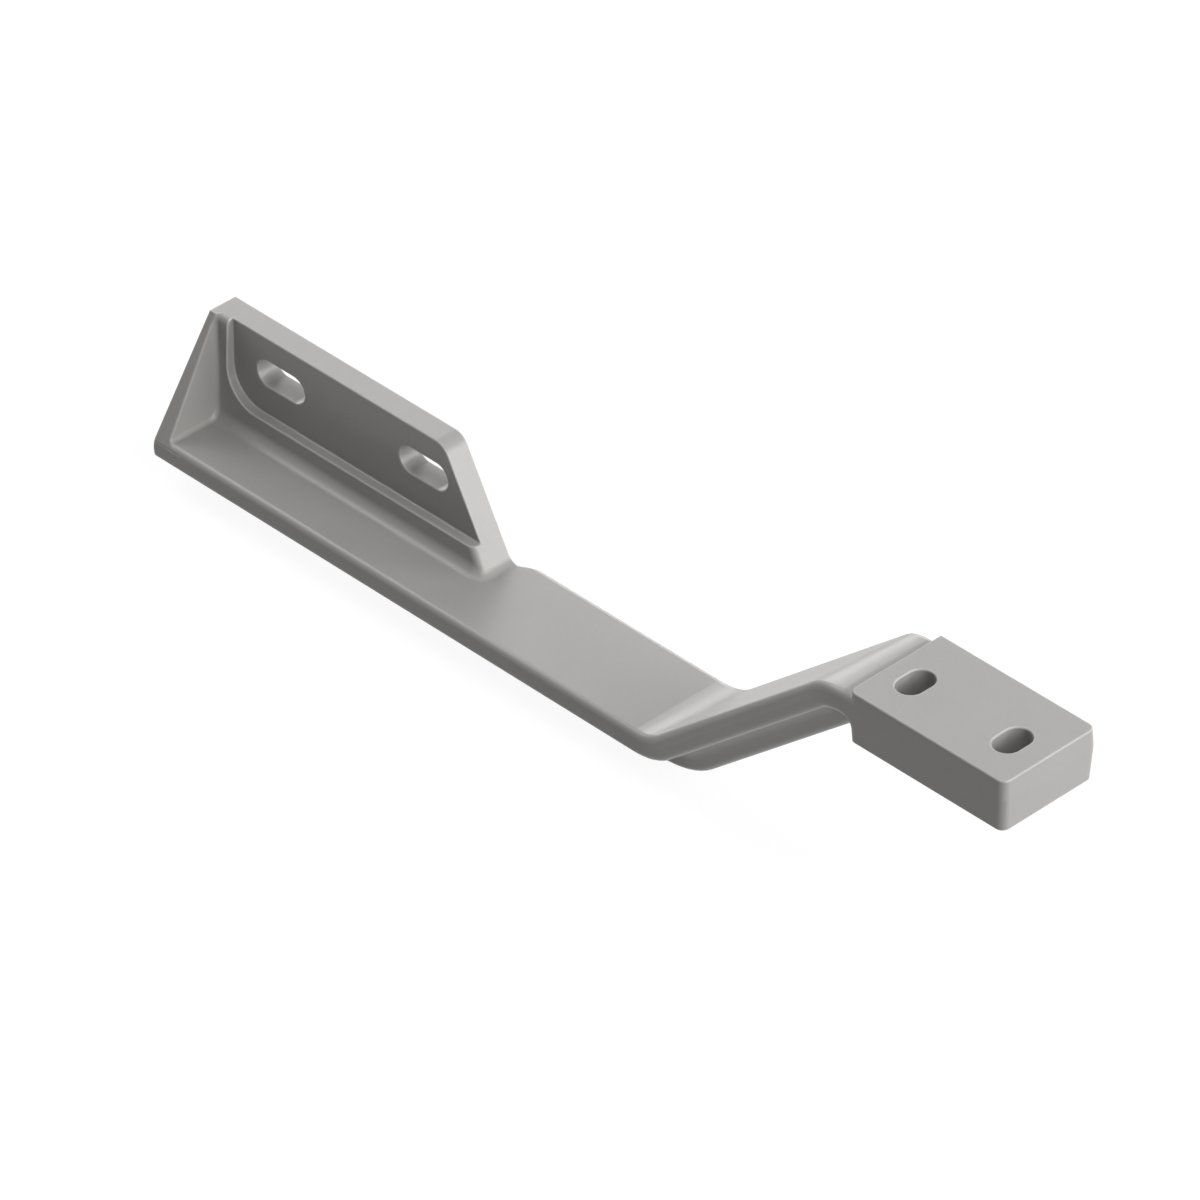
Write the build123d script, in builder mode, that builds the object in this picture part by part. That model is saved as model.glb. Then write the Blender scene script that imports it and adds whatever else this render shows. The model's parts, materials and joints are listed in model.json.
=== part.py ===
from build123d import *
import os
from math import asin, atan2, cos, degrees, hypot, radians, sin, tan

# Support brace, one drop forging with machined faces, in millimetres.
# The origin is the middle of the wall's slot pattern, on the machined back of the wall.
# X runs along the brace, Y points away from the wall's back, Z is up.
# The die line runs round the middle of the arm's flange, and the sides lean in above and below it.

# Wall that stands on the low end of the arm and takes the two long slots
wall_thickness = 12.7
wall_height = 20.0
wall_end_reach = 61.2
wall_end_lean = 29.0
wall_corner_radius = 9.5
wall_slot_spacing = 95.25
wall_slot_width = 14.3
wall_slot_length = 31.75

# Machined pocket in the wall's forged inner face
forged_step = 3.2
pocket_reach = 79.8
pocket_floor_drop = 23.1
pocket_corner_radius = 19.05
pocket_tool_radius = 0.8

# Arm: a flat plate, a ramp that rises and veers to the near side, and a short crest
arm_thickness = 12.2
arm_width = 56.8
plate_drop = 36.0
plate_near_reach = 50.4
plate_left_reach = 95.25
low_bend_reach = 229.6
ramp_run = 130.7
ramp_rise = 117.3
ramp_shift = 25.4
low_bend_radius = 22.2
crest_radius = 31.75

# Step in the plate's far edge where the machined back of the wall runs out
shoulder_reach = 96.3
shoulder_angle = 30.0

# Rib under the arm
rib_depth = 12.3
rib_width = 21.0
rib_inset = 17.4

# Web that closes the left end between plate and wall
web_thickness = 9.4

# Block at the high end, with its two slots
crest_length = 17.2
block_length = 92.6
block_width = 57.6
block_step = 3.6
block_thickness = 26.5
block_corner_radius = 4.0
block_slot_width = 13.5
block_slot_length = 20.0
block_slot_spacing = 57.15
block_slot_end_inset = 16.3
block_slot_side_inset = 25.1

# Forging details
draft = 3.0
inner_draft = 2.5
edge_radius = 3.2
root_radius = 6.35
crest_root_radius = 4.8
web_edge_radius = 1.2
web_root_radius = 2.4
end_radius = 0.8
edge_break = 0.4
stock = 4.0

# How closely an edge or a face has to match when it is picked
near_enough = 0.05

# Levels and lines worked out from the sizes above
half_thickness = arm_thickness / 2
plate_top = -plate_drop
plate_parting = plate_top - half_thickness
plate_bottom = plate_top - arm_thickness
rib_bottom = plate_bottom - rib_depth
plate_near = -plate_near_reach
plate_far = plate_near + arm_width
plate_left = -plate_left_reach
blank_left = plate_left - stock
crest_reach = low_bend_reach + ramp_run
crest_top = plate_top + ramp_rise
crest_bottom = crest_top - arm_thickness
crest_parting = crest_top - half_thickness
crest_near = plate_near - ramp_shift
block_left = crest_reach + crest_length
block_right = block_left + block_length
block_top = crest_top + block_step
block_bottom = block_top - block_thickness
wall_inner = -(wall_thickness + forged_step)
wall_rise = wall_height - plate_parting
rib_near = plate_near + rib_inset
rib_far = rib_near + rib_width
reach_all = block_right + plate_left_reach


def lean(height, angle=draft):
    """How far a face that leans by the draft angle moves in over a height."""
    return height * tan(radians(angle))


def along(edge, direction):
    """How nearly an edge runs along a direction, from 0 for across to 1 for along."""
    return abs(edge.tangent_at(0.5).dot(direction))


# Flange of the arm, swept from its drafted section, with the block at its high end
with BuildPart() as flange:
    with BuildSketch(Plane.YZ.offset(blank_left)):
        with BuildLine():
            Polyline(
                (plate_near, plate_parting),
                (plate_near + lean(half_thickness), plate_top),
                (plate_far - lean(half_thickness), plate_top),
                (plate_far, plate_parting),
                (plate_far - lean(half_thickness), plate_bottom),
                (plate_near + lean(half_thickness), plate_bottom),
                close=True,
            )
        make_face()
    with BuildLine():
        FilletPolyline(
            (blank_left, plate_near, plate_top),
            (low_bend_reach, plate_near, plate_top),
            (crest_reach, crest_near, crest_top),
            (block_left + root_radius, crest_near, crest_top),
            radius=[low_bend_radius, crest_radius],
        )
    sweep()
    with BuildSketch(Plane.XY.offset(crest_parting), mode=Mode.PRIVATE) as block_outline:
        with Locations(((block_left + block_right) / 2, crest_near + block_width / 2)):
            Rectangle(block_length, block_width)
    extrude(block_outline.sketch, amount=block_top - crest_parting, taper=draft)
    extrude(block_outline.sketch, amount=block_bottom - crest_parting, taper=draft)

    # Round the inside corner under the crest, then the flange's long edges and the block's corners
    crest_root = [
        edge
        for edge in flange.edges()
        if along(edge, Vector(0, 1, 0)) > 0.9
        and abs(edge.center().X - block_left) < edge_radius
        and abs(edge.center().Z - crest_bottom) < near_enough
    ]
    fillet(crest_root, radius=crest_root_radius)
    plate_faces = [
        face
        for face in flange.faces()
        if abs(face.normal_at().Z) > 0.99 and face.center().Z < plate_parting + arm_thickness
    ]
    long_edges = [
        edge for face in plate_faces for edge in face.edges() if along(edge, Vector(1, 0, 0)) > 0.99
    ]
    fillet(long_edges, radius=edge_radius)
    upright = [edge for edge in flange.edges() if along(edge, Vector(0, 0, 1)) > 0.9]
    block_corners = [
        edge
        for edge in upright
        if edge.center().X > block_right - edge_radius
        or (abs(edge.center().X - block_left) < edge_radius and edge.center().Z > crest_top)
    ]
    fillet(block_corners, radius=block_corner_radius)

# Rib under the flange, which runs straight up the ramp and into the block
with BuildPart() as rib:
    with BuildSketch(Plane.YZ.offset(blank_left)) as rib_section:
        flare = root_radius + edge_radius
        with BuildLine():
            Polyline(
                (rib_near - flare, plate_parting),
                (rib_far + flare, plate_parting),
                (rib_far + flare, plate_bottom),
                (rib_far + lean(rib_depth), plate_bottom),
                (rib_far, rib_bottom),
                (rib_near, rib_bottom),
                (rib_near - lean(rib_depth), plate_bottom),
                (rib_near - flare, plate_bottom),
                close=True,
            )
        make_face()
        levels = rib_section.vertices().group_by(Axis.Y)
        fillet(levels[1].sort_by(Axis.X)[1:3], radius=root_radius)
        fillet(rib_section.vertices().group_by(Axis.Y)[0], radius=edge_radius)
    rib_stretch = (block_left + root_radius - low_bend_reach) / ramp_run
    with BuildLine():
        FilletPolyline(
            (blank_left, plate_near, plate_top),
            (low_bend_reach, plate_near, plate_top),
            (
                low_bend_reach + ramp_run * rib_stretch,
                plate_near - ramp_shift * rib_stretch,
                plate_top + ramp_rise * rib_stretch,
            ),
            radius=low_bend_radius,
        )
    sweep()
    split(bisect_by=Plane.XY.offset(crest_parting), keep=Keep.BOTTOM)

# Wall, leaning on its forged inner side, with a slanted end
with BuildPart() as wall:
    with BuildSketch(Plane.YZ.offset(blank_left)):
        with BuildLine():
            Polyline(
                (stock, plate_parting),
                (stock, wall_height),
                (wall_inner, wall_height),
                (wall_inner - lean(wall_rise, inner_draft), plate_parting),
                close=True,
            )
        make_face()
    extrude(amount=reach_all)
    with BuildSketch(Plane.XZ) as wall_outline:
        with BuildLine():
            Polyline(
                (blank_left, plate_parting),
                (blank_left, wall_height),
                (wall_end_reach, wall_height),
                (wall_end_reach + lean(wall_rise, wall_end_lean), plate_parting),
                close=True,
            )
        make_face()
        corner = wall_outline.vertices().group_by(Axis.Y)[-1].sort_by(Axis.X)[-1]
        fillet(corner, radius=wall_corner_radius)
    extrude(amount=arm_width, both=True, mode=Mode.INTERSECT)
    inner_rim = [
        edge
        for edge in wall.faces().sort_by(Axis.Y)[0].edges()
        if edge.center().Z > plate_top and edge.center().X > plate_left
    ]
    fillet(inner_rim, radius=edge_radius)

    # A pad of the plate carries the fillet round the wall's foot
    foot_near = wall_inner - lean(wall_height - plate_top, inner_draft) - root_radius - edge_radius
    foot_end = wall_end_reach + lean(wall_height - plate_top, wall_end_lean) + root_radius
    with BuildSketch(Plane.XY.offset(plate_parting)):
        with Locations(((blank_left + foot_end) / 2, (foot_near + stock) / 2)):
            Rectangle(foot_end - blank_left, stock - foot_near)
    extrude(amount=half_thickness)
    wall_foot = [edge for edge in wall.edges() if edge.is_interior]
    fillet(wall_foot, radius=root_radius)

# Web as a full plate, before its slope is cut
web_foot = plate_left + lean(half_thickness) + web_thickness
with BuildPart() as web:
    with BuildSketch(Plane.XZ):
        with BuildLine():
            Polyline(
                (blank_left, plate_parting),
                (blank_left, wall_height + stock),
                (web_foot - lean(wall_height + stock - plate_top, inner_draft), wall_height + stock),
                (web_foot + lean(half_thickness, inner_draft), plate_parting),
                close=True,
            )
        make_face()
    extrude(amount=plate_near_reach + stock)

# The slope runs from the wall's inner top edge down to the rounded near edge of the plate
round_z = plate_top - edge_radius
round_y = plate_near + lean(half_thickness - edge_radius) + edge_radius / cos(radians(draft))
slope_run = wall_inner - round_y
slope_rise = wall_height - round_z
slope_angle = atan2(slope_rise, slope_run) - asin(edge_radius / hypot(slope_run, slope_rise))
slope_foot = (round_y - edge_radius * sin(slope_angle), round_z + edge_radius * cos(slope_angle))
side_top = (
    round_y - edge_radius * cos(radians(draft)),
    round_z + edge_radius * sin(radians(draft)),
)
with BuildPart() as slope_waste:
    with BuildSketch(Plane.YZ.offset(blank_left - stock)):
        with BuildLine():
            Line((wall_inner, wall_height), slope_foot)
            RadiusArc(slope_foot, side_top, edge_radius)
            Polyline(
                side_top,
                (plate_near, plate_parting),
                (plate_near - 2 * stock, plate_parting),
                (plate_near - 2 * stock, wall_height + 2 * stock),
                (2 * stock, wall_height + 2 * stock),
                (2 * stock, wall_height),
                (wall_inner, wall_height),
            )
        make_face()
    extrude(amount=web_foot - blank_left + 2 * root_radius)

# Everything past the drafted left end
with BuildPart() as end_waste:
    with BuildSketch(Plane.XZ):
        with BuildLine():
            Polyline(
                (plate_left, plate_parting),
                (plate_left + lean(wall_rise + stock), wall_height + stock),
                (blank_left - stock, wall_height + stock),
                (blank_left - stock, rib_bottom - stock),
                (plate_left + lean(plate_parting - rib_bottom + stock), rib_bottom - stock),
                close=True,
            )
        make_face()
    extrude(amount=2 * arm_width, both=True)

# Stock behind the machined back of the wall, up to the shoulder in the plate's edge
with BuildPart() as back_waste:
    with BuildSketch(Plane.XY.offset(rib_bottom - stock)):
        with BuildLine():
            Polyline(
                (blank_left - stock, 0),
                (shoulder_reach, 0),
                (shoulder_reach + 2 * plate_far / tan(radians(shoulder_angle)), 2 * plate_far),
                (blank_left - stock, 2 * plate_far),
                close=True,
            )
        make_face()
    extrude(amount=wall_height - rib_bottom + 2 * stock)

# Pocket, open at the top and at the slanted end
with BuildPart() as pocket_waste:
    with BuildSketch(Plane.XZ.offset(wall_thickness)) as pocket_outline:
        with BuildLine():
            Polyline(
                (-pocket_reach, wall_height + stock),
                (-pocket_reach, -pocket_floor_drop),
                (shoulder_reach, -pocket_floor_drop),
                (shoulder_reach, wall_height + stock),
                close=True,
            )
        make_face()
        pocket_corner = pocket_outline.vertices().group_by(Axis.Y)[0].sort_by(Axis.X)[0]
        fillet(pocket_corner, radius=pocket_corner_radius)
    extrude(amount=2 * wall_thickness)
    tool_path = [
        edge
        for edge in pocket_waste.faces().sort_by(Axis.Y)[-1].edges()
        if edge.center().X < shoulder_reach - near_enough and edge.center().Z < wall_height
    ]
    fillet(tool_path, radius=pocket_tool_radius)

# Two long slots through the wall
with BuildPart() as wall_slots:
    with BuildSketch(Plane.XZ):
        with GridLocations(wall_slot_spacing, 1, 2, 1):
            SlotOverall(wall_slot_length, wall_slot_width)
    extrude(amount=2 * wall_thickness, both=True)
    with BuildSketch(Plane.XZ.offset(wall_thickness - edge_break)):
        with GridLocations(wall_slot_spacing, 1, 2, 1):
            SlotOverall(wall_slot_length, wall_slot_width)
    extrude(amount=2 * edge_break, taper=-45)
    with BuildSketch(Plane.XZ.offset(edge_break)):
        with GridLocations(wall_slot_spacing, 1, 2, 1):
            SlotOverall(wall_slot_length, wall_slot_width)
    extrude(amount=-2 * edge_break, taper=-45)

# Two short slots across the block
slot_middle_x = block_left + block_slot_end_inset + block_slot_spacing / 2
slot_middle_y = crest_near + block_slot_side_inset
with BuildPart() as block_slots:
    with BuildSketch(Plane.XY.offset(block_bottom - stock)):
        with Locations((slot_middle_x, slot_middle_y)):
            with GridLocations(block_slot_spacing, 1, 2, 1):
                SlotOverall(block_slot_length, block_slot_width, rotation=90)
    extrude(amount=block_thickness + 2 * stock)
    with BuildSketch(Plane.XY.offset(block_top - edge_break)):
        with Locations((slot_middle_x, slot_middle_y)):
            with GridLocations(block_slot_spacing, 1, 2, 1):
                SlotOverall(block_slot_length, block_slot_width, rotation=90)
    extrude(amount=2 * edge_break, taper=-45)
    with BuildSketch(Plane.XY.offset(block_bottom + edge_break)):
        with Locations((slot_middle_x, slot_middle_y)):
            with GridLocations(block_slot_spacing, 1, 2, 1):
                SlotOverall(block_slot_length, block_slot_width, rotation=90)
    extrude(amount=-2 * edge_break, taper=-45)

# The whole brace: join the forged forms with their root fillets, then machine it
with BuildPart() as support_brace:
    add(flange.part)
    add(rib.part)
    add(wall.part)
    add(web.part)
    web_face = [
        face
        for face in support_brace.faces()
        if face.normal_at().X > 0.99
        and abs(face.center().X - web_foot) < root_radius
        and face.center().Z > plate_top
    ]
    fillet([edge for edge in web_face[0].edges() if edge.is_interior], radius=web_root_radius)
    add(slope_waste.part, mode=Mode.SUBTRACT)
    slope_edge = [
        edge
        for edge in support_brace.edges().filter_by(GeomType.LINE)
        if along(edge, Vector(0, cos(slope_angle), sin(slope_angle))) > 0.9
        and edge.center().X > plate_left
        and edge.center().X < web_foot
        and edge.center().Y < wall_inner
        and edge.length > web_thickness
    ]
    fillet(slope_edge, radius=web_edge_radius)
    add(end_waste.part, mode=Mode.SUBTRACT)
    end_edges = [
        edge
        for face in support_brace.faces()
        if face.normal_at().X < -0.99 and face.center().X < plate_left + stock
        for edge in face.edges()
        if abs(edge.center().Z - plate_parting) > near_enough and edge.center().Y < stock - near_enough
    ]
    fillet(end_edges, radius=end_radius)
    add(back_waste.part, mode=Mode.SUBTRACT)
    add(pocket_waste.part, mode=Mode.SUBTRACT)
    pocket_rim = [
        edge
        for edge in support_brace.edges()
        if -pocket_reach - near_enough < edge.center().X < wall_end_reach + wall_rise
        and -pocket_floor_drop - near_enough < edge.center().Z < wall_height - near_enough
        and edge.center().Y < -wall_thickness - pocket_tool_radius
        and not edge.is_interior
    ]
    chamfer(pocket_rim, length=edge_break)
    block_face = [face for face in support_brace.faces() if abs(face.center().Z - block_top) < near_enough]
    chamfer(block_face[0].outer_wire().edges(), length=edge_break)
    add(wall_slots.part, mode=Mode.SUBTRACT)
    add(block_slots.part, mode=Mode.SUBTRACT)

support_brace.part.label = "support_brace"
os.makedirs("parts", exist_ok=True)
export_step(support_brace.part, "parts/support_brace.step")
print("size", support_brace.part.bounding_box())
print("volume", round(support_brace.part.volume), "slope", round(degrees(slope_angle), 2))
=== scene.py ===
import json
import math

import bpy
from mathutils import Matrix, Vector


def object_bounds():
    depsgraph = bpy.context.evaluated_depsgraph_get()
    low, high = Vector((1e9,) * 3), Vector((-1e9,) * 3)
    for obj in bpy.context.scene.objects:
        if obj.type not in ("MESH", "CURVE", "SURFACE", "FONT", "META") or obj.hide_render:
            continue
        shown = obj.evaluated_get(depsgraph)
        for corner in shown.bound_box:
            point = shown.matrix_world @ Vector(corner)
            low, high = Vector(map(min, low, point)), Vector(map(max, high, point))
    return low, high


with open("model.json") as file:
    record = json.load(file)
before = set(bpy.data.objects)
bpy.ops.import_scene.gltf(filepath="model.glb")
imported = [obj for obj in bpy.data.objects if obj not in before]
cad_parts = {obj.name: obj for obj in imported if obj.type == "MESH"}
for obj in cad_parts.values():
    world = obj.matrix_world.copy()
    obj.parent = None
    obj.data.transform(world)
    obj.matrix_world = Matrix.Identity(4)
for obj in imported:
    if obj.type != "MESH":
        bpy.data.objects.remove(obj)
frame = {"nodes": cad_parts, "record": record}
CAD_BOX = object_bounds()

# Milled faces that the finish follows, in metres: the block's, from the record, and the pocket's
MOUNTS = {mount["name"]: mount for mount in frame["record"]["mounts"]}
BLOCK_TOP = MOUNTS["block_top"]["pos_m"][2]
BLOCK_BOTTOM = MOUNTS["block_bottom"]["pos_m"][2]
POCKET_FLOOR = -0.0127
POCKET_DROP = -0.0231
FACE_SLACK = 0.0001
SQUARE_ON = 0.99

# Edges and creases: how far the mask reaches from an edge, how quickly it shows and how much paler
# the painted highlight there is
EDGE_REACH = 0.0009
EDGE_GAIN = 14.0
EDGE_SAMPLES = 6
EDGE_PAINTED_HIGHLIGHT = 0.32
EDGE_ROUGHNESS = 0.30

# Tone of the steel as a linear grey, with what the speckle and the cutter marks add to it, and the
# shares of green and blue that make it slightly warm
TONE = (0.43, 0.49)
SPECKLE_TONE = (-0.018, 0.018)
MARK_TONE = (-0.008, 0.012)
GREEN_SHARE = 0.972
BLUE_SHARE = 0.945
METALLIC = 0.05
SKIN_ROUGHNESS = (0.35, 0.43)
MILLED_ROUGHNESS = (0.28, 0.34)

# Noise behind the finish: its scale, higher for finer, its detail and its roughness
CLOUDS = (18.0, 3.0, 0.5)
SPECKLE = (900.0, 2.0, 0.5)
GRAIN = (2600.0, 2.0, 0.6)

# Rings that the cutter left: their scale, distortion and detail
MARK_SCALE = 380.0
MARK_DISTORTION = 0.6
MARK_DETAIL = 2.0

# Relief of the grain in metres, its strength, and how deep the cutter marks are against it
RELIEF = 0.00006
RELIEF_STRENGTH = 0.35
MARK_DEPTH = 0.25

# Camera: the photograph's direction, distance and field of view
CAMERA_PLACE = (2.66396, -2.46016, 2.57627)
CAMERA_TILT = math.radians(53.497)
CAMERA_TURN = math.radians(45.626)
CAMERA_LENS = 291.17
CAMERA_REACH = 100.0
SENSOR_WIDTH = 36.0

# Floor and surroundings, as shares of full white
WORLD_LEVEL = 0.02
FLOOR_COLOUR = 0.15
FLOOR_WHITE = 0.93
FLOOR_SIZE = 40.0
FLOOR_GAP = 0.00005

# Soft lights: the compass direction and height that each comes from, in degrees, and the light
# that it throws on a face turned to it, as a share of full white
LIGHT_SPREAD = math.radians(36.0)
LIGHTS = {
    "right_low": (0, 12, 0.42),
    "right_high": (0, 40, 0.29),
    "back_right": (45, 12, 0.44),
    "back_left": (135, 12, 0.34),
    "left_high": (180, 40, 0.235),
    "top_left": (180, 68, 0.11),
}


def add_camera():
    """Camera at the photograph's place, with no shift and no depth of field."""
    data = bpy.data.cameras.new("photo_camera")
    data.lens = CAMERA_LENS
    data.sensor_width = SENSOR_WIDTH
    data.clip_end = CAMERA_REACH
    camera = bpy.data.objects.new("photo_camera", data)
    camera.location = CAMERA_PLACE
    camera.rotation_euler = (CAMERA_TILT, 0.0, CAMERA_TURN)
    bpy.context.scene.collection.objects.link(camera)
    bpy.context.scene.camera = camera


def soft_light(name, azimuth, elevation, level):
    """Even light from one direction, as wide as a large soft box, at the named level."""
    turn, rise = math.radians(azimuth), math.radians(elevation)
    across = math.cos(rise)
    aim = Vector((math.cos(turn) * across, math.sin(turn) * across, math.sin(rise)))
    data = bpy.data.lights.new(name, "SUN")
    data.angle = LIGHT_SPREAD
    data.energy = level * math.pi
    lamp = bpy.data.objects.new(name, data)
    lamp.rotation_euler = aim.to_track_quat("Z", "Y").to_euler()
    bpy.context.scene.collection.objects.link(lamp)


def white_to_the_eye(tree, shader, strength):
    """Add plain white to a shader for camera, glossy and transmission rays only."""
    nodes, links = tree.nodes, tree.links
    path = nodes.new("ShaderNodeLightPath")
    any_of = nodes.new("ShaderNodeMath")
    any_of.operation = "MAXIMUM"
    links.new(path.outputs["Is Camera Ray"], any_of.inputs[0])
    links.new(path.outputs["Is Glossy Ray"], any_of.inputs[1])
    seen = nodes.new("ShaderNodeMath")
    seen.operation = "MAXIMUM"
    links.new(any_of.outputs[0], seen.inputs[0])
    links.new(path.outputs["Is Transmission Ray"], seen.inputs[1])
    scaled = nodes.new("ShaderNodeMath")
    scaled.operation = "MULTIPLY"
    scaled.inputs[1].default_value = strength
    links.new(seen.outputs[0], scaled.inputs[0])
    glow = nodes.new("ShaderNodeEmission")
    links.new(scaled.outputs[0], glow.inputs["Strength"])
    both = nodes.new("ShaderNodeAddShader")
    links.new(shader.outputs[0], both.inputs[0])
    links.new(glow.outputs[0], both.inputs[1])
    return both


def add_floor(height):
    """Pale floor under the brace that keeps its shadow and is clear when seen from below."""
    half = FLOOR_SIZE / 2
    corners = [(-half, -half), (half, -half), (half, half), (-half, half)]
    mesh = bpy.data.meshes.new("floor")
    mesh.from_pydata([(x, y, height) for x, y in corners], [], [(0, 1, 2, 3)])
    floor = bpy.data.objects.new("floor", mesh)
    bpy.context.scene.collection.objects.link(floor)
    material = bpy.data.materials.new("floor")
    material.use_nodes = True
    tree = material.node_tree
    tree.nodes.clear()
    paper = tree.nodes.new("ShaderNodeBsdfDiffuse")
    paper.inputs["Color"].default_value = (FLOOR_COLOUR, FLOOR_COLOUR, FLOOR_COLOUR, 1.0)
    side = tree.nodes.new("ShaderNodeNewGeometry")
    one_sided = tree.nodes.new("ShaderNodeMixShader")
    tree.links.new(side.outputs["Backfacing"], one_sided.inputs[0])
    above = white_to_the_eye(tree, paper, FLOOR_WHITE)
    below = tree.nodes.new("ShaderNodeBsdfTransparent")
    tree.links.new(above.outputs[0], one_sided.inputs[1])
    tree.links.new(below.outputs[0], one_sided.inputs[2])
    output = tree.nodes.new("ShaderNodeOutputMaterial")
    tree.links.new(one_sided.outputs[0], output.inputs["Surface"])
    mesh.materials.append(material)


def light_world():
    """Even grey surroundings that the eye sees as white."""
    world = bpy.data.worlds.new("studio")
    world.use_nodes = True
    tree = world.node_tree
    tree.nodes.clear()
    air = tree.nodes.new("ShaderNodeBackground")
    air.inputs["Color"].default_value = (1.0, 1.0, 1.0, 1.0)
    air.inputs["Strength"].default_value = WORLD_LEVEL
    white = white_to_the_eye(tree, air, 1.0 - WORLD_LEVEL)
    output = tree.nodes.new("ShaderNodeOutputWorld")
    tree.links.new(white.outputs[0], output.inputs["Surface"])
    bpy.context.scene.world = world


class Graph:
    """Small helper that adds nodes to a material and joins them."""

    def __init__(self, material):
        self.tree = material.node_tree

    def node(self, kind, **settings):
        """New node with the named settings."""
        made = self.tree.nodes.new(kind)
        for name, value in settings.items():
            setattr(made, name, value)
        return made

    def join(self, start, end):
        """Link an output to an input."""
        self.tree.links.new(start, end)

    def feed(self, socket, value):
        """Give an input a number, or the output of another node."""
        if isinstance(value, (int, float)):
            socket.default_value = value
        else:
            self.join(value, socket)

    def math(self, operation, first, second=0.0, clamp=False):
        """Math node on two inputs, each a socket or a number."""
        made = self.node("ShaderNodeMath", operation=operation, use_clamp=clamp)
        self.feed(made.inputs[0], first)
        self.feed(made.inputs[1], second)
        return made.outputs[0]

    def noise(self, place, scale, detail, roughness):
        """Noise texture, from 0 to 1."""
        made = self.node("ShaderNodeTexNoise")
        made.inputs["Scale"].default_value = scale
        made.inputs["Detail"].default_value = detail
        made.inputs["Roughness"].default_value = roughness
        self.join(place, made.inputs["Vector"])
        return made.outputs["Fac"]

    def spread(self, value, low, high):
        """Map 0 to 1 onto low to high."""
        made = self.node("ShaderNodeMapRange")
        made.inputs["To Min"].default_value = low
        made.inputs["To Max"].default_value = high
        self.join(value, made.inputs["Value"])
        return made.outputs["Result"]

    def blend(self, share, first, second):
        """Number that goes from first to second as share goes from 0 to 1."""
        made = self.node("ShaderNodeMix", data_type="FLOAT")
        self.join(share, made.inputs["Factor"])
        self.feed(made.inputs[2], first)
        self.feed(made.inputs[3], second)
        return made.outputs[0]


def machined_mask(graph, place, normal):
    """1 on the milled faces: the wall's back, the pocket's floor and the block's top and bottom."""
    at = graph.node("ShaderNodeSeparateXYZ")
    graph.join(place, at.inputs[0])
    facing = graph.node("ShaderNodeSeparateXYZ")
    graph.join(normal, facing.inputs[0])
    _, y, z = at.outputs
    _, face_y, face_z = facing.outputs
    back = graph.math("GREATER_THAN", face_y, SQUARE_ON)
    floor = graph.math("LESS_THAN", face_y, -SQUARE_ON)
    floor = graph.math("MULTIPLY", floor, graph.math("GREATER_THAN", y, POCKET_FLOOR - FACE_SLACK))
    floor = graph.math("MULTIPLY", floor, graph.math("GREATER_THAN", z, POCKET_DROP - FACE_SLACK))
    top = graph.math("GREATER_THAN", face_z, SQUARE_ON)
    top = graph.math("MULTIPLY", top, graph.math("GREATER_THAN", z, BLOCK_TOP - FACE_SLACK))
    bottom = graph.math("LESS_THAN", face_z, -SQUARE_ON)
    level = graph.math("ABSOLUTE", graph.math("SUBTRACT", z, BLOCK_BOTTOM))
    bottom = graph.math("MULTIPLY", bottom, graph.math("LESS_THAN", level, FACE_SLACK))
    wall_faces = graph.math("MAXIMUM", back, floor)
    block_faces = graph.math("MAXIMUM", top, bottom)
    return graph.math("MAXIMUM", wall_faces, block_faces)


def edge_highlight_and_polish(graph, normal):
    """1 along edges and creases, where a normal taken over a small radius leaves the face's own; it
    places the painted highlight and the finer gloss there.
    """
    bevel = graph.node("ShaderNodeBevel", samples=EDGE_SAMPLES)
    bevel.inputs["Radius"].default_value = EDGE_REACH
    alike = graph.node("ShaderNodeVectorMath", operation="DOT_PRODUCT")
    graph.join(bevel.outputs[0], alike.inputs[0])
    graph.join(normal, alike.inputs[1])
    turned = graph.math("SUBTRACT", 1.0, alike.outputs["Value"])
    return graph.math("MULTIPLY", turned, EDGE_GAIN, clamp=True)


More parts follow.
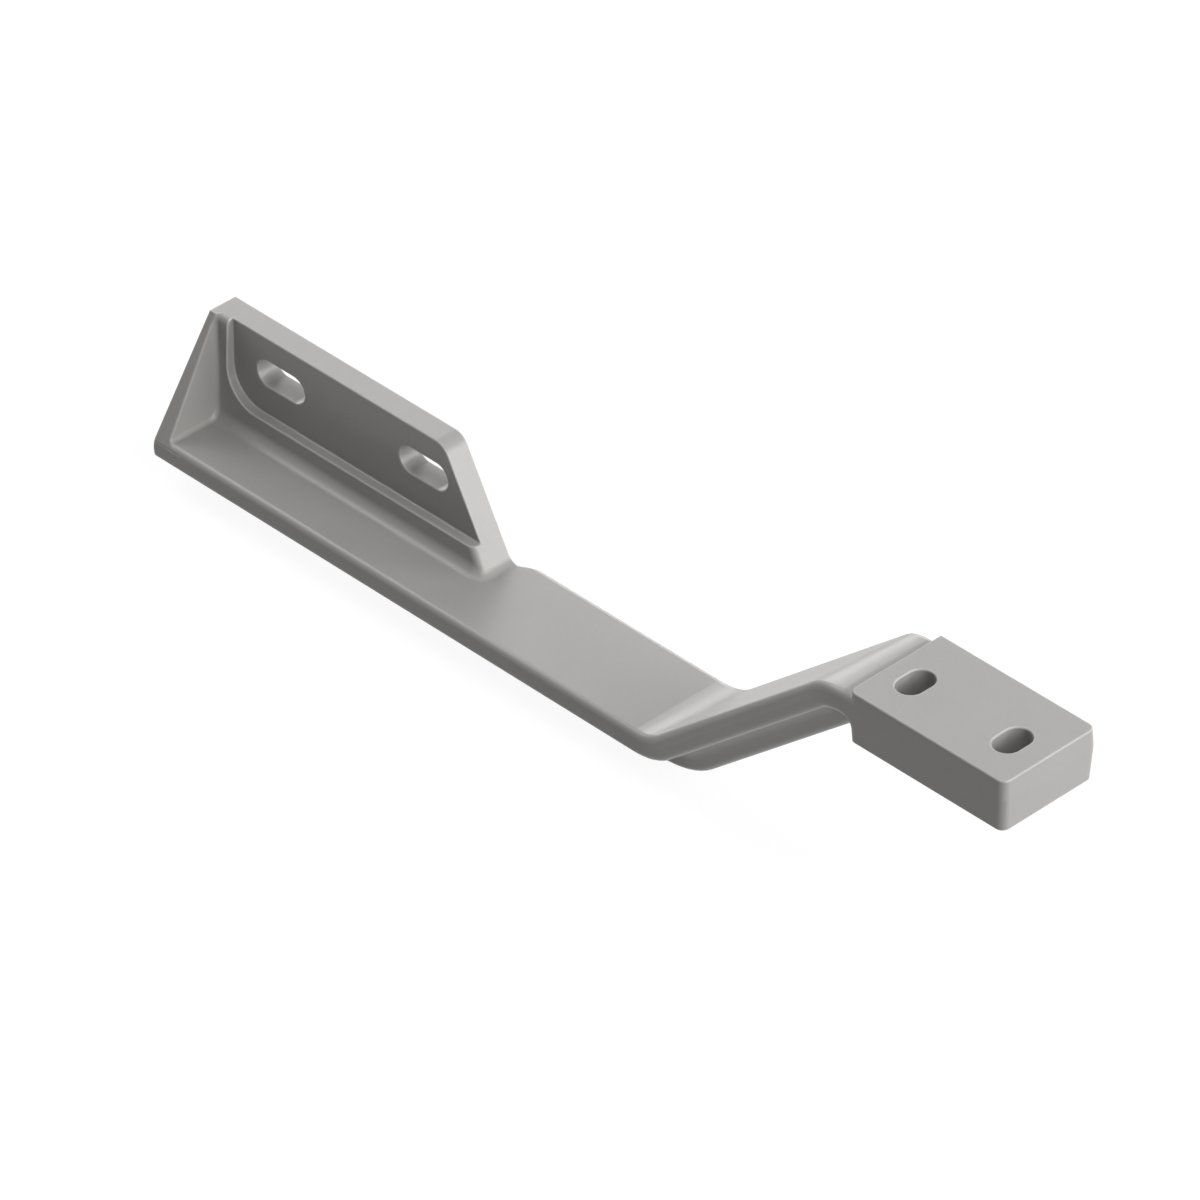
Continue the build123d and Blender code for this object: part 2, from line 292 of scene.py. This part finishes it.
def forged_steel():
    """Satin grey steel: blasted forging skin, and finer milled faces with faint tool marks."""
    material = bpy.data.materials.new("forged_steel")
    material.use_nodes = True
    graph = Graph(material)
    shader = material.node_tree.nodes["Principled BSDF"]
    place = graph.node("ShaderNodeTexCoord").outputs["Object"]
    normal = graph.node("ShaderNodeNewGeometry").outputs["Normal"]
    milled = machined_mask(graph, place, normal)
    # Mask of edges and creases, for the painted highlight in the colour and the finer gloss
    edges = edge_highlight_and_polish(graph, normal)

    # Broad, faint clouds in the tone, and a fine blasted grain
    clouds = graph.noise(place, *CLOUDS)
    grain = graph.noise(place, *GRAIN)
    speckle = graph.noise(place, *SPECKLE)

    # Milling leaves fine arcs of a large cutter
    wave = graph.node("ShaderNodeTexWave", wave_type="RINGS", rings_direction="SPHERICAL")
    wave.inputs["Scale"].default_value = MARK_SCALE
    wave.inputs["Distortion"].default_value = MARK_DISTORTION
    wave.inputs["Detail"].default_value = MARK_DETAIL
    graph.join(place, wave.inputs["Vector"])
    marks = wave.outputs["Fac"]

    # Tone: clouds and speckle all over, cutter marks on the milled faces, and a painted highlight
    # along edges and creases
    tone = graph.math("ADD", graph.spread(clouds, *TONE), graph.spread(speckle, *SPECKLE_TONE))
    on_milled = graph.math("MULTIPLY", milled, graph.spread(marks, *MARK_TONE))
    tone = graph.math("ADD", tone, on_milled)
    # Painted highlight: edges and creases made paler in the base colour
    tone = graph.math("ADD", tone, graph.math("MULTIPLY", edges, EDGE_PAINTED_HIGHLIGHT))
    colour = graph.node("ShaderNodeCombineColor")
    graph.join(tone, colour.inputs["Red"])
    graph.join(graph.math("MULTIPLY", tone, GREEN_SHARE), colour.inputs["Green"])
    graph.join(graph.math("MULTIPLY", tone, BLUE_SHARE), colour.inputs["Blue"])
    graph.join(colour.outputs[0], shader.inputs["Base Color"])

    # Satin gloss, a little finer where milled or rubbed
    rough_skin = graph.spread(speckle, *SKIN_ROUGHNESS)
    rough_milled = graph.spread(marks, *MILLED_ROUGHNESS)
    rough = graph.blend(edges, graph.blend(milled, rough_skin, rough_milled), EDGE_ROUGHNESS)
    graph.join(rough, shader.inputs["Roughness"])
    shader.inputs["Metallic"].default_value = METALLIC

    # Relief: the blasted grain, or the cutter marks on the milled faces
    bump = graph.node("ShaderNodeBump")
    bump.inputs["Distance"].default_value = RELIEF
    bump.inputs["Strength"].default_value = RELIEF_STRENGTH
    height = graph.blend(milled, grain, graph.math("MULTIPLY", marks, MARK_DEPTH))
    graph.join(height, bump.inputs["Height"])
    graph.join(bump.outputs[0], shader.inputs["Normal"])
    return material


def dress(node, material):
    """Give a node of the frame its finish."""
    slots = frame["nodes"][node].data.materials
    if len(slots) == 0:
        slots.append(material)
    for index in range(len(slots)):
        slots[index] = material


add_camera()
light_world()
add_floor(CAD_BOX[0][2] - FLOOR_GAP)
for name, (azimuth, elevation, level) in LIGHTS.items():
    soft_light(name, azimuth, elevation, level)
dress("support_brace", forged_steel())

bpy.context.scene.view_settings.view_transform = "Standard"
